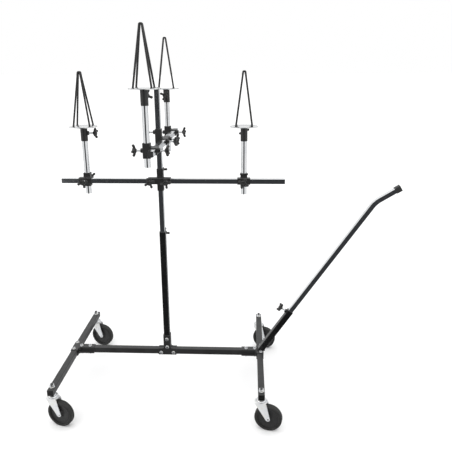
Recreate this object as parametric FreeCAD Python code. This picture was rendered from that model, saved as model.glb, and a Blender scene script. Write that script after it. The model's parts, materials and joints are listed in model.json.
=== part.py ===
import FreeCAD, Part
import math
import os

# Mobile stand that holds four road-wheel rims on cones while they are painted.
# Millimetres, +Z up, +Y to the rear, +X towards the towing handle.  It is laid out about the mast
# axis on the floor, then moved so that the origin is the bottom centre of its bounding box.

V = FreeCAD.Vector
X_AXIS = V(1, 0, 0)
Y_AXIS = V(0, 1, 0)
Z_AXIS = V(0, 0, 1)

# ---- Modelling allowances ----
ALONG = 0.9                # least cosine of an edge that runs along an axis
TOUCHING = 0.01            # mm apart at which two points count as one
PAST = 1.0                 # how far a cutter runs past the face that it leaves

# ---- Driving dimensions: stock sections ----
FRAME_SIDE = 28.0          # black square tube: legs, beam, mast, sleeves
FRAME_WALL = 2.0
SLEEVE_WALL = 2.5          # heavier wall where a bar telescopes
BAR_SIDE = 22.0            # chromed square bar tube
BAR_WALL = 1.5
BAR_CORNER = 1.2
POST_OD = 25.0             # chromed round holder post
POST_WALL = 1.5
POST_SLEEVE_SIDE = 30.0    # square sleeve round the post
POST_SLEEVE_WALL = 2.0
OUTER_CORNER = 2.5         # black tubes
INNER_CORNER = 1.0
BOLT_R = 4.0               # M8
BOLT_HOLE_R = 4.2
THREAD_GAP = 0.1           # radial gap between a plain shank and its nut
SCREW_GAP = 0.05           # radial gap of a clamp screw in its weld nut

# ---- Driving dimensions: wheeled base ----
CASTER_X = 450.0           # leg and caster centres, each side of the mast
CASTER_Y = 345.0
LEG_PAST_CASTER = 25.0
FRAME_Z = 169.0            # axis height of legs and beam
WHEEL_R = 60.0
WHEEL_WIDTH = 28.0
TRAIL = 32.0               # all wheels trail towards +X
END_CAP_THICKNESS = 3.0

# ---- Driving dimensions: mast and bars ----
MAST_OUTER_TOP = 779.0
MAST_INNER_BOTTOM = 579.0
MAST_INNER_TOP = 1415.0
MAST_KNOB_BELOW = 21.0     # below the top of the outer tube
FITTING_LENGTH = 98.0
FITTING_SCREW_INSET = 14.0 # from each end of a fitting's sleeves
CROSSBAR_Z = 1021.0
CROSSBAR_ENDS = (-430.0, 546.0)
DEPTH_BAR_Z = 1193.0
DEPTH_BAR_ENDS = (-365.0, 346.0)
BAR_OFFSET = FRAME_SIDE    # two sleeves welded side by side

# ---- Driving dimensions: wheel-rim holders ----
CLAMP_LENGTH = 56.0
POST_SLEEVE_LENGTH = 58.0
POST_OFFSET = FRAME_SIDE / 2 + POST_SLEEVE_SIDE / 2
POST_LENGTH = 292.0
POST_TOP_GAP = 1.0         # below the disc
SIDE_DISC_TOP = 1254.0
FRONT_DISC_TOP = 1425.0
REAR_DISC_TOP = 1398.0
LEFT_HOLDER_X = -325.0
RIGHT_HOLDER_X = 368.0
FRONT_HOLDER_Y = -275.0
REAR_HOLDER_Y = 275.0
DISC_R = 60.0
DISC_THICKNESS = 4.0
COLLAR_R = 15.0
COLLAR_LENGTH = 60.0
COLLAR_FIT = 0.05
COLLAR_SCREW_BELOW = 26.0  # below the disc's underside
COLLAR_NUT_SINK = 2.0      # weld nut let into the round collar
CONE_HEIGHT = 228.0
CONE_ROD_R = 4.0
CONE_FOOT_R = 48.0
CONE_FOOT_RISE = 4.0       # rods leave the disc square before they lean
CONE_TOP_HALF = 4.5        # half spacing of the rods at the top

# ---- Driving dimensions: towing handle ----
HANDLE_FOOT_X = 455.0
HANDLE_ANGLE = 56.3        # above horizontal
HANDLE_SLEEVE_LENGTH = 245.0
HANDLE_INSERTED = 130.0
HANDLE_BEND_AT = 886.0     # from the foot, along the axis, to the corner of the bend
HANDLE_BEND_R = 100.0
GRIP_ANGLE = 32.0
GRIP_LENGTH = 124.0        # from the corner of the bend to the end of the cap
HANDLE_KNOB_BELOW = 12.0   # from the sleeve's upper end
GRIP_CAP_SIDE = 27.0
GRIP_CAP_CORNER = 4.0
GRIP_CAP_LENGTH = 26.0
GRIP_CAP_END = 5.0         # cap's end wall
PLASTIC_GAP = 0.2          # round a plastic cap or plug

# ---- Driving dimensions: brackets ----
PLATE = 2.5
TEE_HALF_WIDTH = 43.5
TEE_STEM = 89.0
TEE_GAP = 0.5              # between a tube's side and the bracket's lip
TEE_LIP = 12.0             # how far the lips wrap back
TEE_CORNER_R = 8.0
TEE_EDGE_R = 1.5
TEE_BOLTS = ((0.0, 25.0), (0.0, 67.0), (-30.0, -5.0), (30.0, -5.0))
BOLT_HEAD_AF = 13.0
BOLT_HEAD_HEIGHT = 5.5
NUT_HEIGHT = 6.5
BOLT_TAIL = 4.0            # thread past the nut

# ---- Driving dimensions: casters ----
STEM_R = 6.0
STEM_HOLE_R = 6.2
STEM_TOP = 203.0
STEM_NUT_AF = 18.0
STEM_NUT_HEIGHT = 10.0
WASHER_R = 12.0
WASHER_THICKNESS = 2.0
CUP_R = 22.5
CUP_TAPER = 2.0
CUP_HEIGHT = 7.0
CUP_GAP = 0.4              # ball gap between the fixed cup and the fork
STEM_SHOULDER_R = 13.0     # between the cup and the leg
FORK_TOP_Z = 138.0
FORK_TOP_HALF = 25.0
FORK_PLATE = 2.5
FORK_INSIDE = 31.0
FORK_EYE_R = 9.5
FORK_BORE_GAP = 0.3
RIVET_R = 11.0
RIVET_HEIGHT = 4.0
AXLE_R = 4.0
AXLE_GAP = 0.05
AXLE_HEAD_R = 6.0
AXLE_HEAD_HEIGHT = 2.5
HUB_R = 14.0
HUB_WIDTH = 30.0
RIM_R = 47.0
WEB_THICKNESS = 12.0
TREAD_CORNER_R = 6.0

# ---- Driving dimensions: clamp knobs ----
WELD_NUT_AF = 16.0
WELD_NUT_HEIGHT = 9.0
KNOB_MIDDLE = 48.0         # from the sleeve's axis to the middle of the knob
KNOB_HUB_HALF = 8.0
KNOB_HUB_R = 11.0
KNOB_NECK_R = 7.0
KNOB_PRONG_R = 5.0
KNOB_PRONG_REACH = 19.5
KNOB_PRONG_ROOT = 5.0
KNOB_PRONG_DROP = 1.0      # prong roots below the middle
KNOB_PRONG_RISE = 4.0      # prong ends sweep away from the screw
SCREW_TIP_GAP = 0.3        # screw end to the bar that it clamps
SCREW_SINK = 2.0           # screw moulded into the hub

# ---- Worked out from the driving dimensions ----
FRAME_TOP = FRAME_Z + FRAME_SIDE / 2
FRAME_BOTTOM = FRAME_Z - FRAME_SIDE / 2
LEG_END = CASTER_Y + LEG_PAST_CASTER
SLEEVE_HALF = FRAME_SIDE / 2
POST_SLEEVE_HALF = POST_SLEEVE_SIDE / 2
FITTING_SCREW = FITTING_LENGTH / 2 - FITTING_SCREW_INSET
HANDLE_SCREW = HANDLE_SLEEVE_LENGTH - HANDLE_KNOB_BELOW
BAR_TIP = BAR_SIDE / 2 + SCREW_TIP_GAP
POST_TIP = POST_OD / 2 + SCREW_TIP_GAP
HANDLE_FOOT = V(HANDLE_FOOT_X, 0, FRAME_TOP + PLATE)
HANDLE_DIR = V(math.cos(math.radians(HANDLE_ANGLE)), 0, math.sin(math.radians(HANDLE_ANGLE)))
HANDLE_OUT = V(-HANDLE_DIR.z, 0, HANDLE_DIR.x)
GRIP_DIR = V(math.cos(math.radians(GRIP_ANGLE)), 0, math.sin(math.radians(GRIP_ANGLE)))
SIDE_POST_Y = -BAR_OFFSET + POST_OFFSET
DEPTH_POST_X = BAR_OFFSET - POST_OFFSET

CASTERS = {
    "front_left": V(-CASTER_X, -CASTER_Y, 0),
    "front_right": V(CASTER_X, -CASTER_Y, 0),
    "rear_left": V(-CASTER_X, CASTER_Y, 0),
    "rear_right": V(CASTER_X, CASTER_Y, 0),
}
# Where each caster has come to rest: degrees its fork is turned from pointing along X.
CASTER_TURNS = {"front_left": -16.0, "front_right": -13.0, "rear_left": -15.0, "rear_right": -15.0}

# How far each holder's bar, post and collar knobs are turned, in degrees.
HOLDER_KNOB_TURNS = {
    "left": (20.0, 50.0, 20.0),
    "right": (65.0, 45.0, 65.0),
    "front": (50.0, 85.0, 20.0),
    "rear": (5.0, 40.0, 65.0),
}

# Each holder: foot of its post axis, where its bar passes, the bar's direction, the side that the
# bar's knob faces, the height of its disc's top face, the side its collar knob faces, and the turn
# of its cone about the post.
HOLDERS = {
    "left": (V(LEFT_HOLDER_X, SIDE_POST_Y, 0), V(LEFT_HOLDER_X, -BAR_OFFSET, CROSSBAR_Z),
             X_AXIS, -Y_AXIS, SIDE_DISC_TOP, X_AXIS, 4.0),
    "right": (V(RIGHT_HOLDER_X, SIDE_POST_Y, 0), V(RIGHT_HOLDER_X, -BAR_OFFSET, CROSSBAR_Z),
              X_AXIS, -Y_AXIS, SIDE_DISC_TOP, Y_AXIS, 0.0),
    "front": (V(DEPTH_POST_X, FRONT_HOLDER_Y, 0), V(BAR_OFFSET, FRONT_HOLDER_Y, DEPTH_BAR_Z),
              Y_AXIS, X_AXIS, FRONT_DISC_TOP, Y_AXIS, 1.0),
    "rear": (V(DEPTH_POST_X, REAR_HOLDER_Y, 0), V(BAR_OFFSET, REAR_HOLDER_Y, DEPTH_BAR_Z),
             Y_AXIS, X_AXIS, REAR_DISC_TOP, -Y_AXIS, 8.0),
}


def knob_places():
    """Every knob: a point on its sleeve's axis, its outward direction, screw tip and turn."""
    places = {
        "mast_knob": (V(0, 0, MAST_OUTER_TOP - MAST_KNOB_BELOW), Y_AXIS, BAR_TIP, 10.0),
        "lower_fitting_knob_left": (V(-FITTING_SCREW, -BAR_OFFSET, CROSSBAR_Z), -Y_AXIS, BAR_TIP, 25.0),
        "lower_fitting_knob_right": (V(FITTING_SCREW, -BAR_OFFSET, CROSSBAR_Z), -Y_AXIS, BAR_TIP, 10.0),
        "lower_fitting_knob_mast": (V(0, 0, CROSSBAR_Z + FITTING_SCREW), Y_AXIS, BAR_TIP, 0.0),
        "upper_fitting_knob_front": (V(BAR_OFFSET, -FITTING_SCREW, DEPTH_BAR_Z), X_AXIS, BAR_TIP, 35.0),
        "upper_fitting_knob_rear": (V(BAR_OFFSET, FITTING_SCREW, DEPTH_BAR_Z), X_AXIS, BAR_TIP, 5.0),
        "upper_fitting_knob_mast": (V(0, 0, DEPTH_BAR_Z + FITTING_SCREW), -X_AXIS, BAR_TIP, 45.0),
        "handle_knob": (HANDLE_FOOT + HANDLE_DIR * HANDLE_SCREW, HANDLE_OUT, BAR_TIP, 65.0),
    }
    for side, (foot, bar_point, _, bar_face, disc_top, collar_face, _) in HOLDERS.items():
        bar_turn, post_turn, collar_turn = HOLDER_KNOB_TURNS[side]
        collar_z = disc_top - DISC_THICKNESS - COLLAR_SCREW_BELOW
        places[side + "_bar_knob"] = (bar_point, bar_face, BAR_TIP, bar_turn)
        places[side + "_post_knob"] = (V(foot.x, foot.y, bar_point.z), -bar_face, POST_TIP, post_turn)
        places[side + "_head_knob"] = (V(foot.x, foot.y, collar_z), collar_face, POST_TIP, collar_turn)
    return places


# ---- Solid helpers ----

def box_between(low, high):
    size = high - low
    return Part.makeBox(size.x, size.y, size.z, low)


def round_bar(radius, start, end):
    axis = end - start
    return Part.makeCylinder(radius, axis.Length, start, axis)


def fuse_all(shapes):
    return shapes[0].multiFuse(shapes[1:]).removeSplitter()


def placed_along(shape, start, direction):
    """Move a shape built up from the origin along +Z so that it runs from start."""
    shape.Placement = FreeCAD.Placement(start, FreeCAD.Rotation(Z_AXIS, direction))
    return shape


def upright_edges(shape):
    return [edge for edge in shape.Edges if abs(edge.tangentAt(edge.FirstParameter).z) > ALONG]


def square_bar(side, corner, start, end):
    axis = end - start
    bar = Part.makeBox(side, side, axis.Length, V(-side / 2, -side / 2, 0))
    return placed_along(bar.makeFillet(corner, upright_edges(bar)), start, axis)


def square_tube(side, wall, start, end, corner=OUTER_CORNER):
    outer = square_bar(side, corner, start, end)
    return outer.cut(square_bar(side - 2 * wall, INNER_CORNER, start, end))


def bar_tube(start, end):
    return square_tube(BAR_SIDE, BAR_WALL, start, end, BAR_CORNER)


def hex_prism(across_flats, start, end):
    axis = end - start
    radius = across_flats / math.sqrt(3.0)
    corners = [V(radius * math.cos(k * math.pi / 3), radius * math.sin(k * math.pi / 3), 0)
               for k in range(7)]
    prism = Part.Face(Part.makePolygon(corners)).extrude(V(0, 0, axis.Length))
    return placed_along(prism, start, axis)


def with_weld_nut(sleeve, half, centre, direction):
    """Fuse a weld nut to a sleeve's face and drill the clamp screw's hole through that wall."""
    face = centre + direction * half
    nut = hex_prism(WELD_NUT_AF, face, face + direction * WELD_NUT_HEIGHT)
    hole = round_bar(BOLT_R + SCREW_GAP, centre, face + direction * (WELD_NUT_HEIGHT + PAST))
    return sleeve.fuse(nut).cut(hole)


# ---- Wheeled base ----

def leg(x):
    tube = square_tube(FRAME_SIDE, FRAME_WALL, V(x, -LEG_END, FRAME_Z), V(x, LEG_END, FRAME_Z))
    outward = math.copysign(1.0, x)
    for y in (-CASTER_Y, CASTER_Y):
        tube = tube.cut(round_bar(STEM_HOLE_R, V(x, y, FRAME_BOTTOM - PAST), V(x, y, FRAME_TOP + PAST)))
    for u, v in TEE_BOLTS[2:]:
        low = V(x - outward * v, u, FRAME_BOTTOM - PAST)
        tube = tube.cut(round_bar(BOLT_HOLE_R, low, low + Z_AXIS * (FRAME_SIDE + 2 * PAST)))
    return tube


def beam():
    end = CASTER_X - FRAME_SIDE / 2
    tube = square_tube(FRAME_SIDE, FRAME_WALL, V(-end, 0, FRAME_Z), V(end, 0, FRAME_Z))
    for _, v in TEE_BOLTS[:2]:
        for x in (v - CASTER_X, CASTER_X - v):
            tube = tube.cut(round_bar(BOLT_HOLE_R, V(x, 0, FRAME_BOTTOM - PAST), V(x, 0, FRAME_TOP + PAST)))
    for u, v in TEE_BOLTS[2:]:
        start = V(u, -FRAME_SIDE, FRAME_Z + v)
        tube = tube.cut(round_bar(BOLT_HOLE_R, start, start + Y_AXIS * (2 * FRAME_SIDE)))
    return tube


def outer_mast():
    tube = square_tube(FRAME_SIDE, SLEEVE_WALL, V(0, 0, FRAME_TOP), V(0, 0, MAST_OUTER_TOP))
    for _, v in TEE_BOLTS[:2]:
        start = V(0, -FRAME_SIDE, FRAME_Z + v)
        tube = tube.cut(round_bar(BOLT_HOLE_R, start, start + Y_AXIS * (2 * FRAME_SIDE)))
    centre, direction, _, _ = knob_places()["mast_knob"]
    return with_weld_nut(tube, SLEEVE_HALF, centre, direction)


def end_cap(x, side):
    """Bevelled plastic cap at one end of a leg; side is -1 at the front and 1 at the rear."""
    face = V(x, side * LEG_END, FRAME_Z)
    outward = Y_AXIS * side
    head = square_bar(FRAME_SIDE, OUTER_CORNER, face, face + outward * END_CAP_THICKNESS)
    rim = [edge for edge in head.Edges
           if all(abs(abs(vertex.Y) - LEG_END - END_CAP_THICKNESS) < TOUCHING for vertex in edge.Vertexes)]
    head = head.makeChamfer(END_CAP_THICKNESS / 2, rim)
    inside = FRAME_SIDE - 2 * FRAME_WALL - 2 * PLASTIC_GAP
    return head.fuse(square_bar(inside, INNER_CORNER, face - outward * FRAME_SIDE / 2, face))


def tee_shape():
    """Stamped T in its own axes: X along the crossbar, Y along the stem, Z out of the joint."""
    lip = FRAME_SIDE / 2 + TEE_GAP + PLATE
    inside = FRAME_SIDE / 2 + TEE_GAP
    cross = box_between(V(-TEE_HALF_WIDTH, -lip, -TEE_LIP), V(TEE_HALF_WIDTH, lip, PLATE))
    stem = box_between(V(-lip, -lip, -TEE_LIP), V(lip, TEE_STEM, PLATE))
    body = cross.fuse(stem).removeSplitter()
    inner = [edge for edge in upright_edges(body)
             if abs(abs(edge.CenterOfMass.x) - lip) < TOUCHING and abs(edge.CenterOfMass.y - lip) < TOUCHING]
    body = body.makeFillet(TEE_CORNER_R, inner)
    rim = [edge for edge in body.Edges if all(abs(vertex.Z - PLATE) < TOUCHING for vertex in edge.Vertexes)]
    body = body.makeFillet(TEE_EDGE_R, rim)
    far = 2 * TEE_STEM
    channel = box_between(V(-far, -inside, -far), V(far, inside, 0))
    slot = box_between(V(-inside, -inside, -far), V(inside, far, 0))
    body = body.cut(channel).cut(slot)
    for u, v in TEE_BOLTS:
        body = body.cut(round_bar(BOLT_HOLE_R, V(u, v, -PLATE), V(u, v, 2 * PLATE)))
    return body


def tee_frames():
    """Origin and axes (along crossbar, along stem, outward) of the six brackets."""
    half = FRAME_SIDE / 2
    frames = []
    for outward, across in ((-Y_AXIS, X_AXIS), (Y_AXIS, -X_AXIS)):
        frames.append((V(0, 0, FRAME_Z) + outward * half, across, Z_AXIS, outward))
    for side in (-1.0, 1.0):
        for up in (1.0, -1.0):
            origin = V(side * CASTER_X, 0, FRAME_Z + up * half)
            frames.append((origin, Y_AXIS * (side * up), X_AXIS * -side, Z_AXIS * up))
    return frames


def in_frame(shape, frame):
    origin, u, v, w = frame
    matrix = FreeCAD.Matrix(u.x, v.x, w.x, origin.x, u.y, v.y, w.y, origin.y,
                            u.z, v.z, w.z, origin.z, 0, 0, 0, 1)
    shape.Placement = FreeCAD.Placement(matrix)
    return shape


def bracket_bolt(head_point, direction):
    """Hex bolt through a bracket pair; head_point is on the outer face of the first bracket."""
    grip = FRAME_SIDE + 2 * PLATE
    head = hex_prism(BOLT_HEAD_AF, head_point - direction * BOLT_HEAD_HEIGHT, head_point)
    shank = round_bar(BOLT_R, head_point, head_point + direction * (grip + NUT_HEIGHT + BOLT_TAIL))
    return head.fuse(shank)


def plain_nut(across_flats, bore, start, end):
    return hex_prism(across_flats, start, end).cut(round_bar(bore, start, end))


def bracket_fasteners():
    """Bolts and nuts of the three bracket pairs: the mast's from the front, the legs' from above."""
    bolts = []
    nuts = []
    grip = FRAME_SIDE + 2 * PLATE
    for origin, across, along, outward in (tee_frames()[0], tee_frames()[2], tee_frames()[4]):
        for u, v in TEE_BOLTS:
            head_point = origin + across * u + along * v + outward * PLATE
            bolts.append(bracket_bolt(head_point, -outward))
            seat = head_point - outward * grip
            nuts.append(plain_nut(BOLT_HEAD_AF, BOLT_R + THREAD_GAP, seat, seat - outward * NUT_HEIGHT))
    return bolts, nuts


# ---- Casters ----

def caster_stem(foot):
    """Fixed part of a caster: upper ball cup, shoulder, stem through the leg, and the peened rivet head."""
    cup_bottom = foot + Z_AXIS * (FORK_TOP_Z + CUP_GAP)
    cup = Part.makeCone(CUP_R, CUP_R - CUP_TAPER, CUP_HEIGHT, cup_bottom, Z_AXIS)
    shoulder = round_bar(STEM_SHOULDER_R, cup_bottom + Z_AXIS * CUP_HEIGHT, foot + Z_AXIS * FRAME_BOTTOM)
    stem = round_bar(STEM_R, foot + Z_AXIS * (FORK_TOP_Z - FORK_PLATE - CUP_GAP), foot + Z_AXIS * STEM_TOP)
    rivet_top = foot + Z_AXIS * (FORK_TOP_Z - FORK_PLATE - CUP_GAP)
    rivet = round_bar(RIVET_R, rivet_top - Z_AXIS * RIVET_HEIGHT, rivet_top)
    return fuse_all([cup, shoulder, stem, rivet])


def caster_nut(foot):
    seat = foot + Z_AXIS * FRAME_TOP
    washer = round_bar(WASHER_R, seat, seat + Z_AXIS * WASHER_THICKNESS)
    washer = washer.cut(round_bar(STEM_HOLE_R, seat, seat + Z_AXIS * WASHER_THICKNESS))
    low = seat + Z_AXIS * WASHER_THICKNESS
    nut = plain_nut(STEM_NUT_AF, STEM_R + THREAD_GAP, low, low + Z_AXIS * STEM_NUT_HEIGHT)
    return [washer, nut]


def tangent_point(point, centre, radius, side):
    """Where the line from point touches a circle in the XZ plane, on the given side of it."""
    to_centre = centre - point
    distance = to_centre.Length
    bearing = math.atan2(to_centre.z, to_centre.x)
    spread = math.asin(radius / distance)
    reach = math.sqrt(distance ** 2 - radius ** 2)
    angle = bearing + side * spread
    return point + V(math.cos(angle), 0, math.sin(angle)) * reach


def fork_cheek_face(foot, y):
    """Side outline of the fork: a wide top drawn in to a round eye at the axle."""
    eye = V(foot.x + TRAIL, y, WHEEL_R)
    top_back = V(foot.x - FORK_TOP_HALF, y, FORK_TOP_Z)
    top_front = V(foot.x + FORK_TOP_HALF, y, FORK_TOP_Z)
    back = tangent_point(top_back, eye, FORK_EYE_R, -1)
    front = tangent_point(top_front, eye, FORK_EYE_R, 1)
    low = eye + (back + front - eye * 2).normalize() * FORK_EYE_R
    low = eye * 2 - low if low.z > eye.z else low
    edges = [Part.LineSegment(top_front, top_back).toShape(), Part.LineSegment(top_back, back).toShape(),
             Part.Arc(back, low, front).toShape(), Part.LineSegment(front, top_front).toShape()]
    return Part.Face(Part.Wire(edges))


def caster_fork(foot):
    """Stamped fork: two cheeks joined by a top plate, with its axle riveted through."""
    outside = FORK_INSIDE / 2 + FORK_PLATE
    block = fork_cheek_face(foot, foot.y - outside).extrude(V(0, 2 * outside, 0))
    reach = 2 * WHEEL_R
    hollow = box_between(V(foot.x - reach, foot.y - FORK_INSIDE / 2, 0),
                         V(foot.x + reach, foot.y + FORK_INSIDE / 2, FORK_TOP_Z - FORK_PLATE))
    centre = V(foot.x + TRAIL, foot.y, WHEEL_R)
    far = Y_AXIS * (outside + AXLE_HEAD_HEIGHT)
    bore = round_bar(AXLE_R + AXLE_GAP, centre - far, centre + far)
    stem_bore = round_bar(STEM_R + FORK_BORE_GAP, V(foot.x, foot.y, FORK_TOP_Z - 2 * FORK_PLATE),
                          V(foot.x, foot.y, FORK_TOP_Z + PAST))
    fork = block.cut(hollow).cut(bore).cut(stem_bore)
    cheek = Y_AXIS * outside
    axle = fuse_all([round_bar(AXLE_R, centre - cheek, centre + cheek),
                     round_bar(AXLE_HEAD_R, centre - far, centre - cheek),
                     round_bar(AXLE_HEAD_R, centre + cheek, centre + far)])
    return [fork, axle]


def caster_wheel(foot):
    """Plain wheel: hub, thinner web and a tread with rounded shoulders."""
    centre = V(foot.x + TRAIL, foot.y, WHEEL_R)
    half = WHEEL_WIDTH / 2
    tread = round_bar(WHEEL_R, centre - Y_AXIS * half, centre + Y_AXIS * half)
    tread = tread.makeFillet(TREAD_CORNER_R, [edge for edge in tread.Edges if len(edge.Vertexes) == 1])
    for side in (-1.0, 1.0):
        outward = Y_AXIS * side
        tread = tread.cut(round_bar(RIM_R, centre + outward * (WEB_THICKNESS / 2), centre + outward * half))
    hub = round_bar(HUB_R, centre - Y_AXIS * HUB_WIDTH / 2, centre + Y_AXIS * HUB_WIDTH / 2)
    bore = round_bar(AXLE_R + AXLE_GAP, centre - Y_AXIS * HUB_WIDTH, centre + Y_AXIS * HUB_WIDTH)
    return tread.fuse(hub).removeSplitter().cut(bore)


def turned_on_stem(shapes, name):
    """The shapes of one caster, turned about its stem to where it has come to rest."""
    for shape in shapes:
        shape.rotate(CASTERS[name], Z_AXIS, CASTER_TURNS[name])
    return shapes


# ---- Mast, cross fittings and bars ----

def cross_fitting(bar_point, bar_dir, knob_names):
    """Two sleeves welded side by side: one slides on the mast, the other holds a bar."""
    half = FITTING_LENGTH / 2
    middle = V(0, 0, bar_point.z)
    upright = square_tube(FRAME_SIDE, SLEEVE_WALL, middle - Z_AXIS * half, middle + Z_AXIS * half)
    level = square_tube(FRAME_SIDE, SLEEVE_WALL, bar_point - bar_dir * half, bar_point + bar_dir * half)
    body = upright.fuse(level)
    for name in knob_names:
        centre, direction, _, _ = knob_places()[name]
        body = with_weld_nut(body, SLEEVE_HALF, centre, direction)
    return body


def bar_plugs(start, end):
    """Plastic plugs set flush in both ends of a chromed bar."""
    axis = (end - start).normalize()
    side = BAR_SIDE - 2 * BAR_WALL - 2 * PLASTIC_GAP
    depth = axis * (BAR_SIDE / 2)
    return [square_bar(side, INNER_CORNER, start, start + depth),
            square_bar(side, INNER_CORNER, end - depth, end)]


# ---- Wheel-rim holders ----

def holder_clamp(side):
    """Bar sleeve and post sleeve welded side by side, each with a weld nut."""
    foot, bar_point, bar_dir, bar_face, _, _, _ = HOLDERS[side]
    half = CLAMP_LENGTH / 2
    bar_sleeve = square_tube(FRAME_SIDE, SLEEVE_WALL, bar_point - bar_dir * half, bar_point + bar_dir * half)
    middle = V(foot.x, foot.y, bar_point.z)
    rise = Z_AXIS * (POST_SLEEVE_LENGTH / 2)
    post_sleeve = square_tube(POST_SLEEVE_SIDE, POST_SLEEVE_WALL, middle - rise, middle + rise)
    body = with_weld_nut(bar_sleeve.fuse(post_sleeve), SLEEVE_HALF, bar_point, bar_face)
    return with_weld_nut(body, POST_SLEEVE_HALF, middle, -bar_face)


def holder_post(side):
    foot, _, _, _, disc_top, _, _ = HOLDERS[side]
    top = foot + Z_AXIS * (disc_top - DISC_THICKNESS - POST_TOP_GAP)
    bottom = top - Z_AXIS * POST_LENGTH
    return round_bar(POST_OD / 2, bottom, top).cut(round_bar(POST_OD / 2 - POST_WALL, bottom, top))


def cone_hairpin(side):
    """One bent rod of the cone about the Z axis, its feet sunk in a disc whose top is z = 0."""
    spread = CONE_FOOT_R / math.sqrt(2.0)
    top_z = CONE_HEIGHT - CONE_ROD_R
    tops = [V(-CONE_TOP_HALF, side * CONE_TOP_HALF, top_z), V(CONE_TOP_HALF, side * CONE_TOP_HALF, top_z)]
    pieces = [round_bar(CONE_ROD_R, tops[0], tops[1])]
    for top in tops:
        foot = V(math.copysign(spread, top.x), side * spread, -DISC_THICKNESS / 2)
        knee = V(foot.x, foot.y, CONE_FOOT_RISE)
        pieces += [round_bar(CONE_ROD_R, foot, knee), Part.makeSphere(CONE_ROD_R, knee),
                   round_bar(CONE_ROD_R, knee, top), Part.makeSphere(CONE_ROD_R, top)]
    return fuse_all(pieces)


def rest_head(side):
    """Welded head, all one piece: clamp collar, rest disc and the cone's two bent rods."""
    foot, _, _, _, disc_top, collar_face, turn = HOLDERS[side]
    disc_low = foot + Z_AXIS * (disc_top - DISC_THICKNESS)
    disc = round_bar(DISC_R, disc_low, foot + Z_AXIS * disc_top)
    collar_low = disc_low - Z_AXIS * COLLAR_LENGTH
    collar = round_bar(COLLAR_R, collar_low, disc_low)
    nut_base = COLLAR_R - COLLAR_NUT_SINK
    screw_centre = disc_low - Z_AXIS * COLLAR_SCREW_BELOW
    collar = with_weld_nut(collar, nut_base, screw_centre, collar_face)
    collar = collar.cut(round_bar(POST_OD / 2 + COLLAR_FIT, collar_low, disc_low))
    head = disc.fuse(collar)
    for half in (1, -1):
        rod = cone_hairpin(half)
        rod.Placement = FreeCAD.Placement(foot + Z_AXIS * disc_top, FreeCAD.Rotation(Z_AXIS, turn))
        head = head.fuse(rod)
    return head


# ---- Towing handle ----

def handle_sleeve():
    """Fixed sleeve, mitred and welded onto the right-hand bracket."""
    low = HANDLE_FOOT - HANDLE_DIR * (2 * FRAME_SIDE)
    high = HANDLE_FOOT + HANDLE_DIR * HANDLE_SLEEVE_LENGTH
    sleeve = square_tube(FRAME_SIDE, SLEEVE_WALL, low, high)
    far = 4 * FRAME_SIDE
    below = box_between(HANDLE_FOOT - V(far, far, far), HANDLE_FOOT + V(far, far, 0))
    centre, direction, _, _ = knob_places()["handle_knob"]
    return with_weld_nut(sleeve.cut(below), SLEEVE_HALF, centre, direction)


def handle_bar():
    """Chromed tube: straight in the sleeve, one bend, and a grip end."""
    corner = HANDLE_FOOT + HANDLE_DIR * HANDLE_BEND_AT
    turn = HANDLE_ANGLE - GRIP_ANGLE
    tangent = HANDLE_BEND_R * math.tan(math.radians(turn / 2))
    bend_start = corner - HANDLE_DIR * tangent
    bend_end = corner + GRIP_DIR * tangent
    centre = bend_start - HANDLE_OUT * HANDLE_BEND_R
    start = HANDLE_FOOT + HANDLE_DIR * (HANDLE_SLEEVE_LENGTH - HANDLE_INSERTED)
    end = corner + GRIP_DIR * (GRIP_LENGTH - GRIP_CAP_END)
    straight = bar_tube(start, bend_start)
    rim = [face for face in straight.Faces if (face.CenterOfMass - bend_start).Length < TOUCHING]
    bend = rim[0].revolve(centre, Y_AXIS, turn)
    grip = bar_tube(bend_end, end)
    return fuse_all([straight, bend, grip])


def handle_cap():
    corner = HANDLE_FOOT + HANDLE_DIR * HANDLE_BEND_AT
    end = corner + GRIP_DIR * GRIP_LENGTH
    start = end - GRIP_DIR * GRIP_CAP_LENGTH
    outer = square_bar(GRIP_CAP_SIDE, GRIP_CAP_CORNER, start, end)
    bore = square_bar(BAR_SIDE + 2 * PLASTIC_GAP, BAR_CORNER, start, end - GRIP_DIR * GRIP_CAP_END)
    return outer.cut(bore)


# ---- Clamp knobs ----

def star_knob(centre, direction, tip, turn):
    """Four-pronged knob moulded on its clamp screw, pointing outward from a sleeve."""
    low = KNOB_MIDDLE - KNOB_HUB_HALF
    high = KNOB_MIDDLE + KNOB_HUB_HALF
    pieces = [Part.makeCone(KNOB_NECK_R, KNOB_HUB_R, high - low, V(0, 0, low), Z_AXIS),
              round_bar(BOLT_R, V(0, 0, tip), V(0, 0, low + SCREW_SINK))]
    for k in range(4):
        angle = math.radians(turn + 90.0 * k)
        out = V(math.cos(angle), math.sin(angle), 0)
        root = out * KNOB_PRONG_ROOT + Z_AXIS * (KNOB_MIDDLE - KNOB_PRONG_DROP)
        end = out * KNOB_PRONG_REACH + Z_AXIS * (KNOB_MIDDLE + KNOB_PRONG_RISE)
        pieces += [round_bar(KNOB_PRONG_R, root, end), Part.makeSphere(KNOB_PRONG_R, end)]
    return placed_along(fuse_all(pieces), centre, direction)


# ---- Assembly ----

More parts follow.
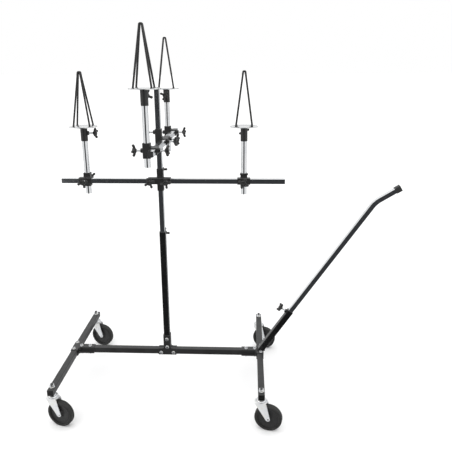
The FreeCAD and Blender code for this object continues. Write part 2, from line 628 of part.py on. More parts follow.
def build_base(nodes):
    nodes["side_legs"] = [leg(-CASTER_X), leg(CASTER_X)]
    nodes["cross_beam"] = [beam()]
    nodes["mast_outer_tube"] = [outer_mast()]
    nodes["leg_end_caps"] = [end_cap(x, side) for x in (-CASTER_X, CASTER_X) for side in (-1, 1)]
    nodes["tee_brackets"] = [in_frame(tee_shape(), frame) for frame in tee_frames()]
    nodes["bracket_bolts"], nodes["bracket_nuts"] = bracket_fasteners()
    nodes["caster_stems"] = [caster_stem(foot) for foot in CASTERS.values()]
    nodes["caster_nuts"] = [solid for foot in CASTERS.values() for solid in caster_nut(foot)]
    for name, foot in CASTERS.items():
        nodes["caster_fork_" + name] = turned_on_stem(caster_fork(foot), name)
        nodes["caster_wheel_" + name] = turned_on_stem([caster_wheel(foot)], name)


def build_mast(nodes):
    nodes["mast_inner_tube"] = [bar_tube(V(0, 0, MAST_INNER_BOTTOM), V(0, 0, MAST_INNER_TOP))]
    lower = [name for name in knob_places() if name.startswith("lower_fitting")]
    upper = [name for name in knob_places() if name.startswith("upper_fitting")]
    nodes["lower_cross_fitting"] = [cross_fitting(V(0, -BAR_OFFSET, CROSSBAR_Z), X_AXIS, lower)]
    nodes["upper_cross_fitting"] = [cross_fitting(V(BAR_OFFSET, 0, DEPTH_BAR_Z), Y_AXIS, upper)]
    left, right = [V(x, -BAR_OFFSET, CROSSBAR_Z) for x in CROSSBAR_ENDS]
    front, rear = [V(BAR_OFFSET, y, DEPTH_BAR_Z) for y in DEPTH_BAR_ENDS]
    nodes["crossbar"] = [bar_tube(left, right)]
    nodes["crossbar_plugs"] = bar_plugs(left, right)
    nodes["depth_bar"] = [bar_tube(front, rear)]
    nodes["depth_bar_plugs"] = bar_plugs(front, rear)


def build_holders(nodes):
    for side in HOLDERS:
        nodes[side + "_clamp"] = [holder_clamp(side)]
        nodes[side + "_post"] = [holder_post(side)]
        nodes[side + "_head"] = [rest_head(side)]


def build_handle(nodes):
    nodes["handle_sleeve"] = [handle_sleeve()]
    nodes["handle_bar"] = [handle_bar()]
    nodes["handle_cap"] = [handle_cap()]


def build_all():
    nodes = {}
    build_base(nodes)
    build_mast(nodes)
    build_holders(nodes)
    build_handle(nodes)
    for name, (centre, direction, tip, turn) in knob_places().items():
        nodes[name] = [star_knob(centre, direction, tip, turn)]
    return {name: Part.makeCompound(solids) for name, solids in nodes.items()}


def origin_shift(shapes):
    """Moves the layout so that its box is centred on the origin and stands on z = 0."""
    box = Part.makeCompound(list(shapes.values())).optimalBoundingBox(False, False)
    return V(-(box.XMin + box.XMax) / 2, -(box.YMin + box.YMax) / 2, -box.ZMin)


NODES = build_all()
SHIFT = origin_shift(NODES)

os.makedirs("parts", exist_ok=True)
for node_name, shape in NODES.items():
    shape.translate(SHIFT)
    shape.exportStep("parts/" + node_name + ".step")
print(len(NODES), "nodes, layout moved by", SHIFT)
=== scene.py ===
import json
import math

import bmesh
import bpy
from mathutils import Matrix, Vector

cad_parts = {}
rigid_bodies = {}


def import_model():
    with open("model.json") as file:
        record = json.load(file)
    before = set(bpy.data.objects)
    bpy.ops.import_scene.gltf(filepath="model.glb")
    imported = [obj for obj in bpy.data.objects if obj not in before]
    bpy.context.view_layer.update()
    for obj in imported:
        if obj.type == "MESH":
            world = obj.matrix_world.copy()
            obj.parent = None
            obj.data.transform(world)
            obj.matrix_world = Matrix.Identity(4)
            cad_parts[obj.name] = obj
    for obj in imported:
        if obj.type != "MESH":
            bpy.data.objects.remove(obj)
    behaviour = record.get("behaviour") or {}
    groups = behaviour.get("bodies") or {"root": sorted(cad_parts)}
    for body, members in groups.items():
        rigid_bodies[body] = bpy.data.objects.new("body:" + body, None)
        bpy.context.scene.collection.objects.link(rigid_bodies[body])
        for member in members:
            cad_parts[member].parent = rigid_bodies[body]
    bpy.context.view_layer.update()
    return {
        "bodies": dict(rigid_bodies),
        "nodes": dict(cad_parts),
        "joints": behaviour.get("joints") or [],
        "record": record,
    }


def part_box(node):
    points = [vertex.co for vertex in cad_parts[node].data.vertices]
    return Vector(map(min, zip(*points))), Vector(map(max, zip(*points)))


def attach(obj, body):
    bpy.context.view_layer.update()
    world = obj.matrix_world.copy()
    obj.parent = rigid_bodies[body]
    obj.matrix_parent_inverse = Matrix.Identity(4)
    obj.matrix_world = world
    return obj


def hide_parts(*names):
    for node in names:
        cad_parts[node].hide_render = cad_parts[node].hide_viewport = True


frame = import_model()

NODES = frame["nodes"]
JOINTS = {joint["name"]: joint for joint in frame["joints"]}
MOUNTS = {mount["name"]: mount for mount in frame["record"]["mounts"]}
BODIES = frame["record"]["behaviour"]["bodies"]
BODY_OF_NODE = {node: body for body, nodes in BODIES.items() for node in nodes}
Z_AXIS = Vector((0.0, 0.0, 1.0))
WHITE = (1.0, 1.0, 1.0)
FRONT_STRIP = (0.04, 0.042, 0.045)
SIDE_STRIP = (0.62, 0.63, 0.64)
REAR_STRIP = (0.6, 0.61, 0.62)
CORNER_STRIP = (0.2, 0.205, 0.21)
# Bearing from straight ahead as a share of half a turn, and the colour below the horizon there.
STRIP_STOPS = ((0.11, FRONT_STRIP), (0.17, WHITE), (0.22, WHITE), (0.25, REAR_STRIP), (0.28, WHITE),
               (0.45, WHITE), (0.48, SIDE_STRIP), (0.52, SIDE_STRIP), (0.55, WHITE), (0.68, WHITE),
               (0.73, CORNER_STRIP), (0.77, CORNER_STRIP), (0.82, WHITE), (0.88, WHITE), (0.93, REAR_STRIP))
STRIP_TOP = 0.04               # sine of the height at which the strips begin to fade into white
WHITE_FROM = 0.22
MM = 0.001

# ---- Camera: angles in radians, place in metres, lens in millimetres ----
CAMERA_TURN = math.radians(2.486)
CAMERA_TILT = math.radians(17.339)
CAMERA_ROLL = math.radians(-0.31)
CAMERA_FROM_MAST = (0.3876, -2.2806)
CAMERA_HEIGHT = 1.5197
CAMERA_LENS = 42.15

# ---- Sizes that the frame doesn't state, in metres ----
SCREW_R = 4.0 * MM
THREAD_PITCH = 1.25 * MM
THREAD_DEPTH = 0.65 * MM
THREAD_LEVELS = 6              # rows of points in one turn of a thread
KNOB_LOW = 40.0 * MM           # hub's end nearest the sleeve, from the sleeve's axis
KNOB_HIGH = 56.0 * MM
KNOB_HUB_R = 11.0 * MM
KNOB_NECK_R = 7.0 * MM
PRONG_R = 5.0 * MM
PRONG_REACH = 19.5 * MM
DISC_R = 60.0 * MM
DISC_THICKNESS = 4.0 * MM
COLLAR_R = 15.0 * MM
COLLAR_BORE_R = 12.55 * MM
COLLAR_LENGTH = 60.0 * MM
ROD_R = 4.0 * MM
ROD_FOOT_R = 48.0 * MM
ROD_TOP_HALF = 4.5 * MM
ROD_KNEE = 4.0 * MM
WELD_NUT_AF = 16.0 * MM
WELD_NUT_HEIGHT = 9.0 * MM
BOLT_THREAD_LENGTH = 13.0 * MM
TUBE_HALF = 14.0 * MM
POST_SLEEVE_HALF = 15.0 * MM
HANDLE_SLEEVE_LEAN = math.radians(56.3)
CASTERS = ("front_left", "front_right", "rear_left", "rear_right")
FORK_TOP_R = 28.0 * MM
FORK_INSIDE = 31.0 * MM
FORK_PLATE = 2.5 * MM
FORK_EYE_R = 9.5 * MM
FORK_BEND_R = 6.0 * MM
FORK_SINK = 1.2 * MM           # plate's top face below the race that stands on it
CUP_R = 22.5 * MM
CUP_HEIGHT = 7.0 * MM
CUP_GAP = 0.4 * MM
STEM_SHOULDER_R = 13.0 * MM
RIVET_R = 11.0 * MM
STEM_R = 6.0 * MM
STEM_PITCH = 1.75 * MM
STEM_NUT_AF = 18.0 * MM
STEM_NUT_HEIGHT = 10.0 * MM
WASHER_R = 12.0 * MM
WASHER_THICKNESS = 2.0 * MM
AXLE_HEAD_R = 6.0 * MM
AXLE_R = 4.0 * MM
HUB_R = 14.0 * MM
HUB_HALF = 15.0 * MM
RIM_R = 47.0 * MM
TYRE_HALF = 14.0 * MM
TYRE_CORNER_R = 6.0 * MM
WEB_HALF = 6.0 * MM
BOLT_R = 4.0 * MM
BOLT_AF = 13.0 * MM
BOLT_HEAD = 5.5 * MM
BOLT_FLANGE_R = 8.4 * MM
CONE_TURN = {"left": 4.0, "right": 0.0, "front": 1.0, "rear": 8.0}   # degrees about the post


# ---------------------------------------------------------------- materials

class Finish:
    """A procedural material: a Principled shader fed by object-space textures."""

    def __init__(self, name, **constants):
        self.material = bpy.data.materials.new(name)
        self.material.use_nodes = True
        self.tree = self.material.node_tree
        self.shader = self.tree.nodes["Principled BSDF"]
        for socket, value in constants.items():
            self.shader.inputs[socket.replace("_", " ")].default_value = value
        self.place = self.tree.nodes.new("ShaderNodeTexCoord").outputs["Object"]

    def link(self, output, target):
        self.tree.links.new(output, target)

    def stretched(self, scale):
        mapping = self.tree.nodes.new("ShaderNodeMapping")
        mapping.inputs["Scale"].default_value = scale
        self.link(self.place, mapping.inputs["Vector"])
        return mapping.outputs["Vector"]

    def noise(self, scale, detail=3.0, roughness=0.55, place=None):
        node = self.tree.nodes.new("ShaderNodeTexNoise")
        node.inputs["Scale"].default_value = scale
        node.inputs["Detail"].default_value = detail
        node.inputs["Roughness"].default_value = roughness
        self.link(place or self.place, node.inputs["Vector"])
        return node.outputs["Fac"]

    def ramp(self, source, stops):
        node = self.tree.nodes.new("ShaderNodeValToRGB")
        node.color_ramp.elements[0].position, first = stops[0]
        node.color_ramp.elements[0].color = (*first, 1.0)
        node.color_ramp.elements[1].position, last = stops[-1]
        node.color_ramp.elements[1].color = (*last, 1.0)
        for position, colour in stops[1:-1]:
            node.color_ramp.elements.new(position).color = (*colour, 1.0)
        self.link(source, node.inputs["Fac"])
        return node.outputs["Color"]

    def spread(self, source, low, high, start=0.3, end=0.7):
        node = self.tree.nodes.new("ShaderNodeMapRange")
        for socket, value in (("From Min", start), ("From Max", end), ("To Min", low), ("To Max", high)):
            node.inputs[socket].default_value = value
        self.link(source, node.inputs["Value"])
        return node.outputs["Result"]

    def mixed(self, factor, one, other):
        node = self.tree.nodes.new("ShaderNodeMix")
        node.data_type = "RGBA"
        self.link(factor, node.inputs["Factor"])
        self.link(one, node.inputs["A"])
        self.link(other, node.inputs["B"])
        return node.outputs["Result"]

    def bump(self, *layers):
        """Each layer is (height output, strength, distance in metres); they stack."""
        normal = None
        for height, strength, distance in layers:
            node = self.tree.nodes.new("ShaderNodeBump")
            node.inputs["Strength"].default_value = strength
            node.inputs["Distance"].default_value = distance
            self.link(height, node.inputs["Height"])
            if normal:
                self.link(normal, node.inputs["Normal"])
            normal = node.outputs["Normal"]
        self.link(normal, self.shader.inputs["Normal"])

    def colour(self, output):
        self.link(output, self.shader.inputs["Base Color"])

    def rough(self, output):
        self.link(output, self.shader.inputs["Roughness"])


def powder_coat(name, dark, light, roughness, peel=1.0):
    """Satin black powder coat: orange peel, slow tone drift, a few rubbed and dusty places."""
    finish = Finish(name, Specular_IOR_Level=0.5, IOR=1.5)
    drift = finish.noise(14.0, 4.0)
    tone = finish.ramp(drift, [(0.3, dark), (0.7, light)])
    dust = finish.ramp(finish.noise(55.0, 6.0, 0.7), [(0.62, (0.0,) * 3), (0.8, (0.35,) * 3)])
    worn = tuple(2.2 * part for part in light)
    most_worn = tuple(2.8 * part for part in light)
    rubbed = finish.ramp(finish.noise(9.0, 2.0), [(0.0, worn), (1.0, most_worn)])
    finish.colour(finish.mixed(dust, tone, rubbed))
    finish.rough(finish.spread(finish.noise(32.0, 5.0), roughness - 0.06, roughness + 0.08))
    finish.bump((finish.noise(700.0, 2.0), 0.22 * peel, 0.00012),
                (finish.noise(150.0, 2.0), 0.08 * peel, 0.0003))
    return finish.material


def chrome():
    """Bright plated tube: a little haze, uneven gloss and fine pitting."""
    finish = Finish("chrome_tube", Metallic=1.0)
    haze = finish.noise(26.0, 5.0, 0.65)
    stops = [(0.3, (0.70, 0.72, 0.74)), (0.55, (0.80, 0.81, 0.82)), (0.75, (0.74, 0.75, 0.76))]
    finish.colour(finish.ramp(haze, stops))
    finish.rough(finish.spread(finish.noise(60.0, 6.0, 0.7), 0.07, 0.17))
    finish.bump((finish.noise(240.0, 2.0), 0.05, 0.00008), (finish.noise(1500.0, 1.0), 0.03, 0.00003))
    return finish.material


def zinc(name, metal, roughness, tone=1.0):
    """Zinc plate: pale, slightly blue and yellow by turns, softer than chrome."""
    finish = Finish(name, Metallic=metal)
    cloud = finish.noise(45.0, 4.0, 0.6)
    stops = [(0.3, (0.66, 0.68, 0.71)), (0.5, (0.76, 0.77, 0.78)), (0.7, (0.74, 0.73, 0.69))]
    toned = [(place, tuple(tone * part for part in shade)) for place, shade in stops]
    finish.colour(finish.ramp(cloud, toned))
    finish.rough(finish.spread(finish.noise(90.0, 5.0), roughness - 0.06, roughness + 0.08))
    finish.bump((finish.noise(380.0, 3.0), 0.05, 0.0001), (finish.noise(1600.0, 1.0), 0.04, 0.00004))
    return finish.material


def moulded_plastic(name, tone, roughness):
    """Moulded black plastic with a fine spark-eroded grain and paler rubbed patches."""
    finish = Finish(name, Specular_IOR_Level=0.5, IOR=1.47)
    patches = finish.noise(70.0, 4.0, 0.6)
    finish.colour(finish.ramp(patches, [(0.35, (tone,) * 3), (0.65, (tone * 1.7,) * 3)]))
    finish.rough(finish.spread(finish.noise(120.0, 4.0), roughness - 0.07, roughness + 0.09))
    finish.bump((finish.noise(2200.0, 1.0), 0.25, 0.00006), (finish.noise(300.0, 2.0), 0.06, 0.0002))
    return finish.material


def rubber():
    """Matt wheel rubber, greyed where it has rolled in dust."""
    finish = Finish("wheel_rubber", Specular_IOR_Level=0.35, IOR=1.5)
    dust = finish.noise(60.0, 6.0, 0.7)
    stops = [(0.35, (0.012,) * 3), (0.6, (0.022, 0.022, 0.021)), (0.8, (0.05, 0.048, 0.045))]
    finish.colour(finish.ramp(dust, stops))
    finish.rough(finish.spread(finish.noise(35.0, 4.0), 0.5, 0.72))
    finish.bump((finish.noise(900.0, 3.0), 0.3, 0.0001), (finish.noise(130.0, 2.0), 0.1, 0.0003))
    return finish.material


COAT = powder_coat("black_powder_coat", (0.011,) * 3, (0.018, 0.018, 0.0185), 0.4)
GLOSS_COAT = powder_coat("gloss_powder_coat", (0.004,) * 3, (0.007,) * 3, 0.24, 0.6)
ROD_COAT = powder_coat("rod_powder_coat", (0.009,) * 3, (0.014,) * 3, 0.38, 0.25)
WELD_COAT = powder_coat("coated_weld", (0.009,) * 3, (0.016,) * 3, 0.34)
CHROME = chrome()
ZINC = zinc("zinc_plate", 1.0, 0.26)
FORK_ZINC = zinc("dull_zinc_plate", 0.35, 0.45)
DARK_STEEL = zinc("dark_steel", 1.0, 0.35, 0.12)
PLASTIC = moulded_plastic("knob_plastic", 0.010, 0.4)
CAP_PLASTIC = moulded_plastic("cap_plastic", 0.014, 0.48)
DEEP_PLASTIC = moulded_plastic("deep_black_plastic", 0.005, 0.3)
RUBBER = rubber()
SLOT_FINISH = {
    "black_powder_coat": COAT,
    "chrome_plate": CHROME,
    "zinc_plate": ZINC,
    "black_plastic": CAP_PLASTIC,
    "wheel_rubber": RUBBER,
}
NODE_FINISH = {"mast_outer_tube": GLOSS_COAT, "handle_sleeve": GLOSS_COAT, "leg_end_caps": DEEP_PLASTIC}


# ---------------------------------------------------------------- mesh helpers

def mesh_from(name, verts, faces):
    """A mesh with coincident points merged, loose edges dropped and its faces turned outwards."""
    mesh = bpy.data.meshes.new(name)
    mesh.from_pydata([tuple(v) for v in verts], [], faces)
    bm = bmesh.new()
    bm.from_mesh(mesh)
    bmesh.ops.remove_doubles(bm, verts=bm.verts, dist=1e-7)
    bmesh.ops.delete(bm, geom=[edge for edge in bm.edges if not edge.link_faces], context="EDGES")
    bmesh.ops.recalc_face_normals(bm, faces=bm.faces)
    bm.to_mesh(mesh)
    bm.free()
    return mesh


def soften(mesh, angle=40.0):
    """Smooth shading with sharp edges kept where faces meet at more than the angle."""
    mesh.shade_smooth()
    mesh.set_sharp_from_angle(angle=math.radians(angle))


def axis_matrix(origin, direction, across=None):
    """Local +Z along direction; local +X as near to across as it can be."""
    z = Vector(direction).normalized()
    hint = Vector(across) if across else (Vector((1, 0, 0)) if abs(z.x) < 0.9 else Vector((0, 1, 0)))
    y = z.cross(hint).normalized()
    x = y.cross(z)
    rotation = Matrix((x, y, z)).transposed().to_4x4()
    return Matrix.Translation(Vector(origin)) @ rotation


def lathe(name, profile, segments=64):
    """Turns a closed outline of (radius, height) points about the local Z axis."""
    verts = []
    faces = []
    count = len(profile)
    for s in range(segments):
        angle = 2 * math.pi * s / segments
        verts += [(r * math.cos(angle), r * math.sin(angle), z) for r, z in profile]
    for s in range(segments):
        for p in range(count):
            a = s * count + p
            b = s * count + (p + 1) % count
            c = ((s + 1) % segments) * count + (p + 1) % count
            d = ((s + 1) % segments) * count + p
            faces.append((a, b, c, d))
    return mesh_from(name, verts, faces)


def sweep(name, path, radii, sides=20):
    """A round rod along a path; radii is one radius or one for each point."""
    points = [Vector(p) for p in path]
    sizes = radii if isinstance(radii, (list, tuple)) else [radii] * len(points)
    padded = [points[0]] + points + [points[-1]]
    tangents = [(after - before).normalized() for before, after in zip(padded, padded[2:])]
    normal = tangents[0].orthogonal().normalized()
    verts = []
    for point, tangent, size in zip(points, tangents, sizes):
        normal = (normal - tangent * normal.dot(tangent)).normalized()
        side = tangent.cross(normal)
        for k in range(sides):
            angle = 2 * math.pi * k / sides
            verts.append(point + (normal * math.cos(angle) + side * math.sin(angle)) * size)
    faces = []
    for i in range(len(points) - 1):
        for k in range(sides):
            a = i * sides + k
            b = i * sides + (k + 1) % sides
            faces.append((a, b, b + sides, a + sides))
    faces.append(tuple(range(sides - 1, -1, -1)))
    faces.append(tuple(range(len(verts) - sides, len(verts))))
    return mesh_from(name, verts, faces)


def weld_bead(name, path, radius, ripple=2.4 * MM):
    """A rippled fillet weld along a path, each ripple a short overlapping scale."""
    points = [Vector(p) for p in path]
    fine = []
    sizes = []
    travelled = 0.0
    for a, b in zip(points, points[1:]):
        length = (b - a).length
        steps = max(2, int(length / (ripple / 5)))
        for i in range(steps):
            fine.append(a.lerp(b, i / steps))
            phase = math.pi * (travelled + length * i / steps) / ripple
            sizes.append(radius * (0.82 + 0.22 * abs(math.sin(phase))))
        travelled += length
    fine.append(points[-1])
    sizes.append(radius * 0.5)
    sizes[0] = radius * 0.5
    return sweep(name, fine, sizes, sides=10)


def ring(centre, direction, radius, steps=48):
    """Points of a closed circle about a direction."""
    place = axis_matrix(centre, direction)
    angles = [2 * math.pi * i / steps for i in range(steps + 1)]
    return [place @ Vector((radius * math.cos(angle), radius * math.sin(angle), 0)) for angle in angles]


def joined(name, meshes):
    """One mesh from several, each optionally with a matrix."""
    bm = bmesh.new()
    for entry in meshes:
        mesh, matrix = entry if isinstance(entry, tuple) else (entry, None)
        part = mesh.copy()
        if matrix:
            part.transform(matrix)
        bm.from_mesh(part)
        bpy.data.meshes.remove(part)
    result = bpy.data.meshes.new(name)
    bm.to_mesh(result)
    bm.free()
    return result


def add_piece(name, mesh, body, material, matrix=None, replaces=(), angle=40.0):
    """Puts a mesh in the scene as a piece that rides on a CAD body."""
    obj = bpy.data.objects.new(name, mesh)
    bpy.context.scene.collection.objects.link(obj)
    if not mesh.materials:
        mesh.materials.append(material)
        soften(mesh, angle)
    if matrix:
        obj.matrix_world = matrix
    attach(obj, body)
    if replaces:
        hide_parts(*replaces)


def zinc_piece(name, mesh, body, matrix, node, angle=40.0, metal=ZINC):
    """A zinc plated piece that stands in for a CAD node or for a share of it."""
    add_piece(name, mesh, body, metal, matrix, (node,), angle)


def coated_piece(name, mesh, body, matrix=None, replaces=(), metal=COAT):
    """A powder coated piece."""
    add_piece(name, mesh, body, metal, matrix, replaces)


def islands(node):
    """Boxes (low, high) of the separate solids in a CAD node."""
    mesh = NODES[node].data
    parent = list(range(len(mesh.vertices)))
    by_place = {}

    def root_of(i):
        while parent[i] != i:
            parent[i] = parent[parent[i]]
            i = parent[i]
        return i

    for vertex in mesh.vertices:
        key = tuple(round(c, 6) for c in vertex.co)
        parent[root_of(vertex.index)] = root_of(by_place.setdefault(key, vertex.index))
    for edge in mesh.edges:
        parent[root_of(edge.vertices[0])] = root_of(edge.vertices[1])
    groups = {}
    for vertex in mesh.vertices:
        groups.setdefault(root_of(vertex.index), []).append(vertex.co)
    boxes = []
    for points in groups.values():
        low = Vector([min(p[k] for p in points) for k in range(3)])
        high = Vector([max(p[k] for p in points) for k in range(3)])
        boxes.append((low, high))
    return sorted(boxes, key=lambda box: tuple(round(c, 4) for c in box[0]))


# ---------------------------------------------------------------- CAD nodes

def finish_cad_nodes():
    """Every CAD node that stays on show gets its slot's finish and smooth round faces."""
    slots = {entry["node"]: entry["material_slot"] for entry in frame["record"]["subparts"]}
    for name, obj in NODES.items():
        obj.data.materials.clear()
        obj.data.materials.append(NODE_FINISH.get(name, SLOT_FINISH[slots[name]]))
        soften(obj.data, 30.0)
        flat = obj.modifiers.new("flat_faces", "WEIGHTED_NORMAL")
        flat.keep_sharp = True
        flat.weight = 100


# ---------------------------------------------------------------- knobs and screws

def star_knob_mesh():
    """Four-pronged knob, moulded in one: hub, swept prongs and a dished top, blended by a remesh."""
    middle = (KNOB_LOW + KNOB_HIGH) / 2
    profile = [(0.0, KNOB_LOW), (KNOB_NECK_R, KNOB_LOW), (KNOB_HUB_R, middle),
               (KNOB_HUB_R, KNOB_HIGH - 1 * MM), (KNOB_HUB_R - 2 * MM, KNOB_HIGH),
               (6 * MM, KNOB_HIGH - 0.5 * MM), (0.0, KNOB_HIGH - 2.5 * MM)]
    parts = [lathe("hub", profile, 48)]
    for k in range(4):
        out = Matrix.Rotation(math.radians(90.0 * k), 3, "Z") @ Vector((1, 0, 0))
        root = out * (4 * MM) + Z_AXIS * (middle - 1 * MM)
        end = out * PRONG_REACH + Z_AXIS * (middle + 4 * MM)
        steps = 14
        path = []
        sizes = []
        for i in range(steps + 1):
            t = i / steps
            path.append(root.lerp(end, t) + Z_AXIS * (-1.2 * MM * math.sin(math.pi * t)))
            sizes.append(PRONG_R * (1.02 - 0.1 * math.sin(math.pi * t) + 0.12 * t))
        tip = [(end + (end - root).normalized() * PRONG_R * math.sin(a), PRONG_R * 1.14 * math.cos(a))
               for a in (0.35, 0.7, 1.0, 1.25, 1.45)]
        path += [p for p, _ in tip]
        sizes += [s for _, s in tip]
        parts.append(sweep("prong", path, sizes, 20))
    source = bpy.data.objects.new("knob_source", joined("knob_source", parts))
    bpy.context.scene.collection.objects.link(source)
    remesh = source.modifiers.new("blend", "REMESH")
    remesh.mode = "VOXEL"
    remesh.voxel_size = 0.75 * MM
    smooth = source.modifiers.new("fillet", "SMOOTH")
    smooth.iterations = 9
    smooth.factor = 0.5
    thin = source.modifiers.new("thin", "DECIMATE")
    thin.ratio = 0.35
    evaluated = source.evaluated_get(bpy.context.evaluated_depsgraph_get())
    mesh = bpy.data.meshes.new_from_object(evaluated)
    bpy.data.objects.remove(source)
    mesh.name = "star_knob"
    mesh.materials.clear()
    return mesh


def threaded_rod(name, radius, pitch, length, depth=THREAD_DEPTH, sides=20):
    """A closed screw along local +Z from the origin, chamfered at both ends."""
    levels = int(length / pitch * THREAD_LEVELS)
    verts = []
    for row in range(levels + 1):
        z = length * row / levels
        chamfer = max(0.0, 1.0 - min(z, length - z) / pitch)
        for k in range(sides):
            turn = 2 * math.pi * (z / pitch - k / sides)
            r = radius - depth * max(chamfer, 0.5 + 0.5 * math.cos(turn))
            angle = 2 * math.pi * k / sides
            verts.append((r * math.cos(angle), r * math.sin(angle), z))
    faces = []
    for row in range(levels):
        for k in range(sides):
            a = row * sides + k
            b = row * sides + (k + 1) % sides
            faces.append((a, b, b + sides, a + sides))
    faces.append(tuple(range(sides - 1, -1, -1)))
    faces.append(tuple(range(levels * sides, (levels + 1) * sides)))
    return mesh_from(name, verts, faces)


def prong_direction(node, origin, axis):
    """Which way one prong of a CAD knob points, square to its screw."""
    best = Vector((0, 0, 0))
    for vertex in NODES[node].data.vertices:
        offset = vertex.co - origin
        radial = offset - axis * offset.dot(axis)
        if radial.length > best.length:
            best = radial
    return best.normalized()


def clamp_knobs():
    """Star knob, threaded screw and its insert for every clamp knob in the frame."""
    knob_mesh = star_knob_mesh()
    screw_start = TUBE_HALF + 2 * MM
    screw_mesh = threaded_rod("clamp_screw", SCREW_R, THREAD_PITCH, KNOB_LOW - screw_start)
    profile = [(0.0, -3 * MM), (3.4 * MM, -3 * MM), (3.4 * MM, -0.3 * MM), (2.9 * MM, 0.2 * MM),
               (1.6 * MM, 0.2 * MM), (1.3 * MM, -0.5 * MM), (0.0, -0.5 * MM)]
    insert_mesh = lathe("screw_insert", profile, 24)
    for joint_name, joint in JOINTS.items():
        if "_knob" not in joint_name:
            continue
        node = joint["child"]
        origin = Vector(joint["pos_m"])
        axis = Vector(joint["axis"]).normalized()
        place = axis_matrix(origin, axis, prong_direction(node, origin, axis))
        screw_place = place @ Matrix.Translation((0, 0, screw_start))
        insert_place = place @ Matrix.Translation((0, 0, KNOB_HIGH - 2.2 * MM))
        add_piece(node + "_star", knob_mesh, node, PLASTIC, place, (node,), 60.0)
        zinc_piece(node + "_screw", screw_mesh, node, screw_place, node, 35.0)
        zinc_piece(node + "_insert", insert_mesh, node, insert_place, node)


def weld_nut_beads():
    """A ring of weld where each clamp screw's nut sits on its sleeve."""
    for joint_name, joint in JOINTS.items():
        if "_knob" not in joint_name:
            continue
        axis = Vector(joint["axis"]).normalized()
        half = TUBE_HALF
        if joint_name.endswith("post_knob_turn"):
            half = POST_SLEEVE_HALF
        if "_head_" in joint_name:
            half = COLLAR_R - 0.6 * MM
        centre = Vector(joint["pos_m"]) + axis * (half + 0.3 * MM)
        mesh = weld_bead("nut_weld", ring(centre, axis, WELD_NUT_AF * 0.54, 36), 1.2 * MM)
        coated_piece(joint["child"] + "_nut_weld", mesh, joint["parent"], metal=WELD_COAT)


# ---------------------------------------------------------------- rim holders

def hairpin_path(side):
    """Centre line of one bent rod about the local Z axis, above a disc at z = 0."""
    spread = ROD_FOOT_R / math.sqrt(2.0)
    top = TOP_OF_CONE - ROD_R
    corner = 3.0 * MM
    legs = []
    for x_sign in (-1.0, 1.0):
        foot = Vector((x_sign * spread, side * spread, -0.5 * MM))
        knee = Vector((x_sign * spread, side * spread, ROD_KNEE))
        high = Vector((x_sign * ROD_TOP_HALF, side * ROD_TOP_HALF, top))
        lean = (high - knee).normalized()
        below = high - lean * corner
        beside = high - Vector((x_sign * corner, 0, 0))
        rounded = [below.lerp(high, t).lerp(high.lerp(beside, t), t) for t in (0, 0.2, 0.4, 0.6, 0.8, 1.0)]
        bend = [foot, knee - Z_AXIS * 1.5 * MM, knee + lean * 0.8 * MM, knee + lean * 3 * MM]
        legs.append(bend + [knee.lerp(high, t) for t in (0.25, 0.5, 0.75)] + rounded)
    return legs[0] + legs[1][::-1]


def disc_profile():
    """Outline of the flat disc that a rim rests on, its top face at z = 0."""
    low = -DISC_THICKNESS
    return [(0.0, low), (DISC_R - 1.2 * MM, low), (DISC_R - 0.3 * MM, low + 0.4 * MM), (DISC_R, low / 2),
            (DISC_R - 0.3 * MM, -0.4 * MM), (DISC_R - 1.2 * MM, 0.0), (0.0, 0.0)]


def collar_profile():
    """Outline of the collar under a disc, with its lower edge broken inside and out."""
    high = -DISC_THICKNESS
    low = high - COLLAR_LENGTH
    return [(COLLAR_BORE_R, low + 0.6 * MM), (COLLAR_BORE_R + 0.6 * MM, low), (COLLAR_R - 0.6 * MM, low),
            (COLLAR_R, low + 0.6 * MM), (COLLAR_R, high), (COLLAR_BORE_R, high)]


def rod_foot_welds():
    """A bead round each of the four places where a bent rod meets its disc."""
    offset = ROD_FOOT_R / math.sqrt(2)
    beads = []
    for x in (-offset, offset):
        for y in (-offset, offset):
            circle = ring((x, y, 0.3 * MM), Z_AXIS, ROD_R + 0.3 * MM, 24)
            beads.append(weld_bead("foot", circle, 1.1 * MM))
    return joined("foot_welds", beads)


def rim_heads():
    """Disc, collar and bent rods of each rim holder, with their welds."""
    for side in ("left", "right", "front", "rear"):
        node = side + "_head"
        body = BODY_OF_NODE[node]
        seat = Vector(MOUNTS[side + "_rim_rest"]["pos_m"])
        place = Matrix.Translation(seat) @ Matrix.Rotation(math.radians(CONE_TURN[side]), 4, "Z")
        disc = lathe("disc", disc_profile(), 96)
        collar = lathe("collar", collar_profile(), 64)
        zinc_piece(side + "_disc", disc, body, place, node, 50.0)
        coated_piece(side + "_collar", collar, body, place, (node,))
        collar_nut(side, node, body)
        for number, half in enumerate((-1.0, 1.0)):
            rod = sweep("rod", hairpin_path(half), ROD_R, 24)
            coated_piece(f"{side}_rod_{number + 1}", rod, body, place, (node,), ROD_COAT)
        coated_piece(side + "_foot_welds", rod_foot_welds(), body, place, metal=WELD_COAT)
        circle = ring((0, 0, -DISC_THICKNESS - 0.4 * MM), Z_AXIS, COLLAR_R + 0.4 * MM, 60)
        under = weld_bead("under", circle, 1.7 * MM)
        coated_piece(side + "_collar_weld", under, body, place, metal=WELD_COAT)


def collar_nut(side, node, body):
    """Hexagonal weld nut on the collar, bored for the clamp screw."""
    joint = JOINTS[side + "_head_knob_turn"]
    axis = Vector(joint["axis"])
    start = COLLAR_R - 2.5 * MM
    height = WELD_NUT_HEIGHT + 0.5 * MM
    place = axis_matrix(Vector(joint["pos_m"]) + axis * start, axis)
    nut = hex_nut_mesh(WELD_NUT_AF, SCREW_R, height)
    add_piece(side + "_collar_nut", nut, body, COAT, place, (node,), 25.0)


